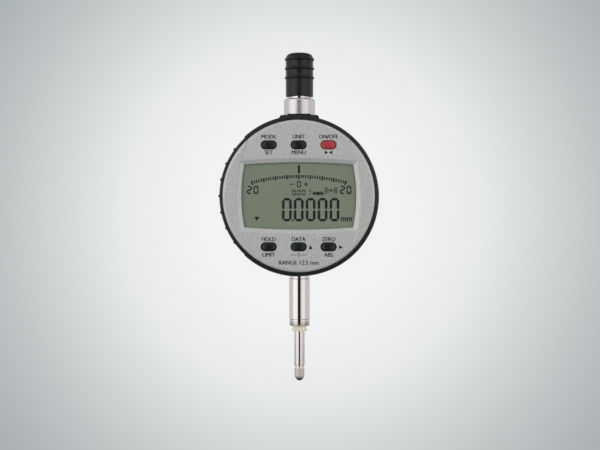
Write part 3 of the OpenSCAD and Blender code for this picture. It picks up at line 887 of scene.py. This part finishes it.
def lcd_content():
    bm = bmesh.new()
    box(bm, 0.1, 10.0, 0.85, 3.0)
    scale_ticks(bm)
    number(bm, "0", -0.7, 3.15, 1.6, 2.55, 0.46, 2, 0.03)
    box(bm, -2.6, 4.45, 1.4, 0.4)
    box(bm, 2.75, 4.45, 1.4, 0.4)
    box(bm, 2.75, 4.45, 0.4, 1.4)
    number(bm, "000", -2.5, 0.25, 1.4, 2.1, 0.38, 1.85, 0.02)
    box(bm, -0.87, 0.42, 0.4, 0.35)
    for y in (0.75, 1.75, 2.4):
        box(bm, 4.25, y, 0.45, 0.42)
    for x in (6.3, 8.3):
        triangle(bm, x - 0.5, 0.98, 0.62, 0, INK_LOW, INK_HIGH, 1.2)
        triangle(bm, x + 0.5, 0.98, 0.62, 180, INK_LOW, INK_HIGH, 1.2)
        box(bm, x, 0.98, 0.3, 1.5)
    prism(bm, circle(0.45, (12.1, 2.1), 24)(0), INK_LOW, INK_HIGH)
    for radius in (1.15, 1.7, 2.25):
        band(bm, 12.1, 2.1, radius, 0.28, -38, 38)
        band(bm, 12.1, 2.1, radius, 0.28, 142, 218)
    for left in (-19.5, 15.45):
        number(bm, "20", left, 0.68, 1.95, 3.2, 0.58, 2.45, 0.03)
    number(bm, "00000", -6.3, -9.55, 3.66, 8.82, 0.97, 4.475, 0.07)
    box(bm, -2.25, -9.2, 0.62, 0.66)
    triangle(bm, -15.75, -8.5, 0.85, -90, INK_LOW, INK_HIGH, 1.2)
    add_text(bm, "mm", (17.95, -9.45), 1.45, INK_LOW, INK_HIGH, 0.93, 0.03)
    piece("lcd_segments", bm, "display", "lcd_ink")


def add_text(bm, text, at, height, low, high, stretch=1.0, weight=0.0):
    """Raised lettering, centred over a point on its base line."""
    curve = bpy.data.curves.new("lettering", "FONT")
    curve.body = text
    curve.extrude = 0.5
    curve.offset = weight
    curve.resolution_u = 4
    holder = bpy.data.objects.new("lettering", curve)
    bpy.context.collection.objects.link(holder)
    graph = bpy.context.evaluated_depsgraph_get()
    mesh = bpy.data.meshes.new_from_object(holder.evaluated_get(graph))
    xs = [vertex.co.x for vertex in mesh.vertices]
    scale = height / max(vertex.co.y for vertex in mesh.vertices)
    middle = (min(xs) + max(xs)) / 2
    for vertex in mesh.vertices:
        x = at[0] + (vertex.co.x - middle) * scale * stretch
        y = at[1] + vertex.co.y * scale
        vertex.co = face_point(x, y, low + (vertex.co.z + 0.5) * (high - low))
    bm.from_mesh(mesh)
    bpy.data.meshes.remove(mesh)
    bpy.data.objects.remove(holder)
    bpy.data.curves.remove(curve)


def legends():
    """Generic words and marks at the keys. A word is drawn twice, a little apart, for bolder strokes."""
    bm = bmesh.new()
    low = FACE_FRONT - 0.01
    high = FACE_FRONT + 0.012
    words = [("MODE", -KEY_PITCH, 21.45), ("UNIT", 0, 21.45), ("ON/OFF", KEY_PITCH, 21.45),
             ("SET", -KEY_PITCH, 15.55), ("MENU", 0, 15.55),
             ("HOLD", -KEY_PITCH, -16.95), ("DATA", 0, -16.95), ("ZERO", KEY_PITCH, -16.95),
             ("LIMIT", -KEY_PITCH, -22.8), ("ABS", KEY_PITCH, -22.8)]
    for text, x, y in words:
        for shift in (-0.07, 0.07):
            add_text(bm, text, (x + shift, y), 1.5, low, high + shift * 0.02, 0.9)
    for shift in (-0.06, 0.06):
        add_text(bm, "RANGE 12.5 mm", (shift, -25.75), 1.55, low, high + shift * 0.02, 0.95)
    for x, angle in ((KEY_PITCH - 0.85, 0), (KEY_PITCH + 0.85, 180)):
        triangle(bm, x, 16.25, 0.72, angle, low, high, 1.0)
    triangle(bm, 4.45, -19.2, 0.92, 90, low, high, 0.75)
    triangle(bm, 15.8, -19.25, 0.9, 0, low, high, 0.75)
    for side in (-1, 1):
        x = side * 1.9
        prism(bm, [(x - 1.1, -22.22), (x + 1.1, -22.22), (x + 1.1, -22.02), (x - 1.1, -22.02)], low, high)
    add_text(bm, "0", (0, -22.75), 1.4, low, high, 0.9)
    piece("face_legends", bm, "display", "legend_ink")


# ---- spindle ----

def spindle_rod():
    bm = bmesh.new()
    low = bottom("spindle_rod")
    high = top("spindle_rod")
    profile = [(0, low), (ROD_R - 0.15, low), (ROD_R - 0.04, low + 0.05), (ROD_R, low + 0.15)]
    profile += [(ROD_R, high - 0.3), (ROD_R - 0.3, high), (0, high)]
    turn(bm, profile)
    piece("spindle_shaft", bm, "spindle", "ground_steel", "spindle_rod")


def knurl_depth(turns, z):
    """Crossed V grooves: 0 on a point's peak, 1 at the bottom of a groove."""
    around = 16 * turns
    along = z / 0.75
    first = abs((around + along) % 1 - 0.5)
    second = abs((around - along) % 1 - 0.5)
    return max(first, second) * 2


def contact_holder():
    bm = bmesh.new()
    low = bottom("spindle_rod")
    grip = 1.95
    steps = 192
    rows = 66
    knurl_top = low - 1.0
    knurl_end = low - 4.25
    neck = [(1.2, low + 0.3), (1.75, low + 0.02), (1.75, low - 0.85), (1.82, knurl_top)]
    nose = [(1.8, knurl_end - 0.12), (1.55, low - 4.8), (1.3, low - 4.83)]
    angles = full_turn(steps)
    rings = [axis_ring(radius, z, angles) for radius, z in neck]
    for row in range(rows + 1):
        z = knurl_top + (knurl_end - knurl_top) * row / rows
        fade = min(1, min(row, rows - row) / 4)
        ring = []
        for i, a in enumerate(angles):
            radius = grip - 0.12 * fade * knurl_depth(i / steps, z - knurl_top) - 0.1 * (1 - fade)
            ring += axis_ring(radius, z, [a])
        rings.append(ring)
    rings += [axis_ring(radius, z, angles) for radius, z in nose]
    loft(bm, rings)
    turn(bm, [(0, low + 0.3), (1.2, low + 0.3)], steps=steps)
    turn(bm, [(0, low - 4.83), (1.3, low - 4.83)], steps=steps)
    piece("contact_knurled", bm, "spindle", "knurled_steel", "contact_holder")


def contact_ball():
    bm = bmesh.new()
    radius = half_width("contact_ball")
    centre = (0, bottom("contact_ball") + radius)
    turn(bm, arc(centre, radius - 0.005, 90, -90, 40), steps=96)
    piece("contact_sphere", bm, "spindle", "carbide", "contact_ball")


def lifting_sleeve():
    bm = bmesh.new()
    low = bottom("lifting_sleeve")
    high = top("lifting_sleeve")
    profile = [(ROD_R, low), (SLEEVE_R - 0.2, low), (SLEEVE_R, low + 0.2), (SLEEVE_R, high), (ROD_R, high)]
    turn(bm, profile, closed=True)
    piece("lifting_sleeve_tube", bm, "spindle", "sleeve_steel", "lifting_sleeve")


def lifting_cap():
    """The rubber grip: a cylinder with three ridges and a domed top."""
    bm = bmesh.new()
    low = bottom("lifting_cap")
    high = top("lifting_cap")
    radius = 5.3
    ridge_r = 0.55
    ridge_out = 5.72
    profile = [(SLEEVE_R, low + 0.05), (SLEEVE_R + 0.05, low)]
    profile += arc((radius - 0.25, low + 0.25), 0.25, -90, 0, 4)
    reach = radius - (ridge_out - ridge_r)
    ends = math.degrees(math.acos(reach / ridge_r))
    for up in (46, 49.55, 53.1):
        z = DIAL_Z + up
        half = ridge_r * math.sin(math.radians(ends))
        profile += [(radius, z - half - 0.12), (radius + 0.02, z - half - 0.03)]
        profile += arc((ridge_out - ridge_r, z), ridge_r, -ends + 8, ends - 8, 10)
        profile += [(radius + 0.02, z + half + 0.03), (radius, z + half + 0.12)]
    dome_r = 2.0
    dome_h = 2.1
    for i in range(13):
        a = math.pi / 2 * i / 12
        profile.append((radius - dome_r * (1 - math.cos(a)), high - dome_h * (1 - math.sin(a))))
    profile += [(1.6, high), (0, high), (0, high - 1), (SLEEVE_R, high - 1)]
    turn(bm, profile, closed=True)
    piece("lifting_cap_grip", bm, "spindle", "cap_rubber", "lifting_cap")


# ---- stage, lights and camera ----

def plane(name, width, depth, material):
    mesh = bpy.data.meshes.new(name)
    corners = [(-width / 2, -depth / 2, 0), (width / 2, -depth / 2, 0), (width / 2, depth / 2, 0),
               (-width / 2, depth / 2, 0)]
    mesh.from_pydata(corners, [], [(0, 1, 2, 3)])
    mesh.materials.append(material)
    made = bpy.data.objects.new(name, mesh)
    bpy.context.collection.objects.link(made)
    return made


def backdrop_paper():
    """A pale wall with a soft pool of light behind the object."""
    material = bpy.data.materials.new("backdrop_paper")
    material.use_nodes = True
    nodes = material.node_tree.nodes
    links = material.node_tree.links
    nodes.remove(nodes["Principled BSDF"])
    place = nodes.new("ShaderNodeTexCoord")
    mapping = nodes.new("ShaderNodeMapping")
    reach = 0.366
    mapping.inputs["Scale"].default_value = (1 / reach, 1 / reach, 1 / reach)
    pool = nodes.new("ShaderNodeTexGradient")
    pool.gradient_type = "SPHERICAL"
    ramp = nodes.new("ShaderNodeValToRGB")
    stops = [(0.0, (0.385, 0.42, 0.425)), (0.10, (0.43, 0.463, 0.468)), (0.26, (0.533, 0.565, 0.571)),
             (0.40, (0.655, 0.682, 0.69)), (0.55, (0.80, 0.82, 0.828)), (0.75, (0.885, 0.896, 0.90))]
    while len(ramp.color_ramp.elements) < len(stops):
        ramp.color_ramp.elements.new(0.5)
    for element, (position, color) in zip(ramp.color_ramp.elements, stops):
        element.position = position
        element.color = (*color, 1)
    glow = nodes.new("ShaderNodeEmission")
    links.new(place.outputs["Object"], mapping.inputs["Vector"])
    links.new(mapping.outputs["Vector"], pool.inputs["Vector"])
    links.new(pool.outputs["Color"], ramp.inputs["Fac"])
    links.new(ramp.outputs["Color"], glow.inputs["Color"])
    links.new(glow.outputs["Emission"], nodes["Material Output"].inputs["Surface"])
    return material


def floor_paper():
    """A plain pale floor, as bright as the surroundings."""
    material, principled = shader("floor_paper", (0, 0, 0), 1)
    dark = (0.72, 0.735, 0.745)
    light = (0.75, 0.765, 0.775)
    tint(material, principled, noise(material, 400), dark, light, socket="Emission Color")
    principled.inputs["Emission Strength"].default_value = 1
    return material


def stage():
    """The wall and floor, which the object neither mirrors nor takes light from."""
    wall = plane("backdrop", 2.4, 1.6, backdrop_paper())
    wall.location = (-0.012, 0.62, 0.038)
    wall.rotation_euler = (math.radians(90), 0, 0)
    floor = plane("floor", 4, 4, floor_paper())
    floor.location = (0, 0, -0.22)
    for still in (wall, floor):
        still.visible_diffuse = False
        still.visible_glossy = False


def softbox(name, azimuth_deg, distance, height, width, tall, power):
    """A lamp turned to the dial. Only those in front of it show in the steel, whose edges stay grey."""
    data = bpy.data.lights.new(name, "AREA")
    data.shape = "RECTANGLE"
    data.size = width
    data.size_y = tall
    data.energy = power
    lamp = bpy.data.objects.new(name, data)
    a = math.radians(azimuth_deg)
    middle = Vector((0, 0, DIAL_Z * MM))
    lamp.location = middle + Vector((math.sin(a) * distance, -math.cos(a) * distance, height))
    lamp.rotation_euler = (middle - lamp.location).to_track_quat("-Z", "Y").to_euler()
    lamp.visible_camera = False
    lamp.visible_glossy = abs(azimuth_deg) < 90
    bpy.context.collection.objects.link(lamp)


def lights():
    softbox("softbox_left", -46.5, 0.6, 0.1, 0.66, 0.8, 0.8)
    softbox("softbox_right", 37.5, 0.6, 0.1, 0.66, 0.8, 0.5)
    softbox("softbox_above", 0, 0.35, 0.75, 0.7, 0.5, 0.22)
    softbox("softbox_behind_left", -140, 0.7, 0.25, 0.5, 0.6, 0.9)
    softbox("softbox_behind_right", 140, 0.7, 0.25, 0.5, 0.6, 0.9)


def ramp_of(nodes, stops):
    """A ramp through (position, grey) stops."""
    ramp = nodes.new("ShaderNodeValToRGB")
    while len(ramp.color_ramp.elements) < len(stops):
        ramp.color_ramp.elements.new(0.5)
    for element, (position, grey) in zip(ramp.color_ramp.elements, stops):
        element.position = position
        element.color = (grey, grey, grey, 1)
    return ramp


def along_axis(nodes, links, direction, axis):
    """A direction's part along one axis, brought from -1...1 to 0...1."""
    split = nodes.new("ShaderNodeSeparateXYZ")
    links.new(direction, split.inputs["Vector"])
    spread = nodes.new("ShaderNodeMapRange")
    spread.inputs["From Min"].default_value = -1
    links.new(split.outputs[axis], spread.inputs["Value"])
    return spread.outputs["Result"]


def world():
    """A soft tent: brighter overhead, dark in front, and plain pale where the camera sees it."""
    space = bpy.data.worlds.new("studio")
    space.use_nodes = True
    nodes = space.node_tree.nodes
    links = space.node_tree.links
    direction = nodes.new("ShaderNodeTexCoord").outputs["Generated"]
    levels = [(0.0, 0.28), (0.2, 0.2), (0.42, 0.28), (0.46, 0.66), (0.7, 0.55), (1.0, 0.2)]
    height = ramp_of(nodes, levels)
    links.new(along_axis(nodes, links, direction, "Z"), height.inputs["Fac"])
    opening = ramp_of(nodes, [(0.012, 0.015), (0.05, 1.0)])
    links.new(along_axis(nodes, links, direction, "Y"), opening.inputs["Fac"])
    tent = nodes.new("ShaderNodeMix")
    tent.data_type = "RGBA"
    tent.blend_type = "MULTIPLY"
    tent.inputs["Factor"].default_value = 1
    links.new(height.outputs["Color"], tent.inputs[6])
    links.new(opening.outputs["Color"], tent.inputs[7])
    links.new(tent.outputs[2], nodes["Background"].inputs["Color"])
    seen = nodes.new("ShaderNodeBackground")
    seen.inputs["Color"].default_value = (0.72, 0.74, 0.75, 1)
    path = nodes.new("ShaderNodeLightPath")
    mix = nodes.new("ShaderNodeMixShader")
    links.new(path.outputs["Is Camera Ray"], mix.inputs["Fac"])
    links.new(nodes["Background"].outputs["Background"], mix.inputs[1])
    links.new(seen.outputs["Background"], mix.inputs[2])
    links.new(mix.outputs["Shader"], nodes["World Output"].inputs["Surface"])
    bpy.context.scene.world = space


def camera():
    data = bpy.data.cameras.new("camera")
    data.lens = 70.5
    data.sensor_width = 36
    made = bpy.data.objects.new("camera", data)
    made.location = (0.0095, -0.4549, 0.0285)
    aim = Vector((0.0002, 0, 0.0285))
    made.rotation_euler = (aim - made.location).to_track_quat("-Z", "Y").to_euler()
    bpy.context.collection.objects.link(made)
    bpy.context.scene.camera = made


finish_cad_nodes()
case_shell()
boss()
rear_cover()
cover_screws()
battery_door()
stem()
wiper()
collar()
grip_ring()
face_panel()
face_wings()
keys()
lcd_content()
legends()
spindle_rod()
contact_holder()
contact_ball()
lifting_sleeve()
lifting_cap()
stage()
lights()
world()
camera()
bpy.context.scene.view_settings.view_transform = "Standard"
